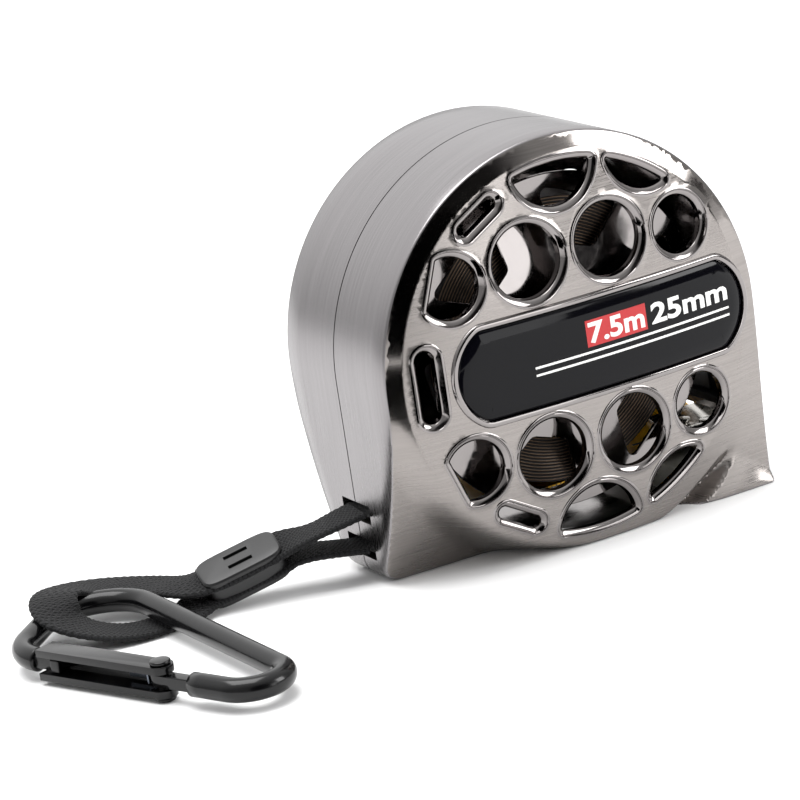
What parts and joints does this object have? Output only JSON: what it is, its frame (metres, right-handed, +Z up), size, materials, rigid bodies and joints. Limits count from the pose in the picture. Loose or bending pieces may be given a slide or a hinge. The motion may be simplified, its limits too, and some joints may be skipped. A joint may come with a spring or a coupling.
{
  "type": "tape measure",
  "caption": "Pocket tape measure: windowed arch case, sprung blade on a reel, thumb lock, and a wrist strap with slider and carabiner.",
  "frame": {"origin": "on the flat base, under the reel's axis, on the plane where the two shells part", "axes": "+X out of the mouth, +Y to the rear shell, +Z up"},
  "size_m": [0.1523, 0.0725, 0.0778],
  "materials": {
    "case_plating": "dark nickel plated ABS, brushed",
    "badge_print": "black with white and red print, clear resin dome",
    "screw_steel": "zinc plated",
    "post_plastic": "natural moulding",
    "reel_plating": "dark nickel plated ABS, polished",
    "spring_steel": "blued spring steel",
    "blade_paint": "yellow lacquer",
    "hook_steel": "nickel plated",
    "bumper_rubber": "matt",
    "lock_plastic": "satin black",
    "pad_rubber": "matt",
    "strap_webbing": "woven polyester",
    "slider_plastic": "satin black",
    "ring_paint": "gloss black",
    "rivet_paint": "gloss black"
  },
  "bodies": {
    "case": {"front_shell": "case_plating", "rear_shell": "case_plating", "front_badge": "badge_print", "rear_badge": "badge_print", "case_screws": "screw_steel", "spindle_post": "post_plastic", "spindle_screw": "screw_steel", "mouth_bumper": "bumper_rubber", "blade_guide": "lock_plastic", "strap_turn": "strap_webbing"},
    "reel": {"reel_drum": "reel_plating", "front_reel_plate": "reel_plating", "rear_reel_plate": "reel_plating", "blade_coil": "blade_paint", "power_spring": "spring_steel"},
    "blade": {"blade_tongue": "blade_paint", "hook_rivets": "hook_steel"},
    "hook": {"end_hook": "hook_steel"},
    "lock": {"lock_button": "lock_plastic", "lock_slide": "lock_plastic", "brake_pad": "pad_rubber"},
    "strap": {"wrist_strap": "strap_webbing", "carabiner_frame": "ring_paint", "gate_rivet": "rivet_paint"},
    "slider": {"cord_slider": "slider_plastic"},
    "gate": {"carabiner_gate": "ring_paint", "gate_spring": "spring_steel"}
  },
  "joints": [
    {"name": "blade_pull", "type": "slide", "parent": "case", "child": "blade", "axis": [1, 0, 0], "range_m": [0, 0.05], "stiffness_N_per_m": 20, "springref_m": -0.2},
    {"name": "reel_spin", "type": "hinge", "parent": "case", "child": "reel", "pos_m": [0, 0, 0.038], "axis": [0, 1, 0], "range_deg": [-110, 10]},
    {"name": "hook_play", "type": "slide", "parent": "blade", "child": "hook", "axis": [1, 0, 0], "range_m": [0, 0.0008]},
    {"name": "lock_press", "type": "slide", "parent": "case", "child": "lock", "axis": [0, 0, -1], "range_m": [0, 0.0046]},
    {"name": "strap_swing", "type": "hinge", "parent": "case", "child": "strap", "pos_m": [-0.0398, 0, 0.00975], "axis": [0, 1, 0], "range_deg": [0, 70], "deforming": ["wrist_strap"]},
    {"name": "slider_slide", "type": "slide", "parent": "strap", "child": "slider", "axis": [0.9372, -0.238, 0.255], "range_m": [0, 0.003]},
    {"name": "gate_swing", "type": "hinge", "parent": "strap", "child": "gate", "pos_m": [-0.09445, -0.02657, 0.00385], "axis": [0, 0, -1], "range_deg": [0, 28], "stiffness_Nm_per_rad": 0.02, "springref_deg": -17.19}
  ],
  "couplings": [
    {"joint": "reel_spin", "follows": "blade_pull", "rad_per_m": -37.037}
  ]
}
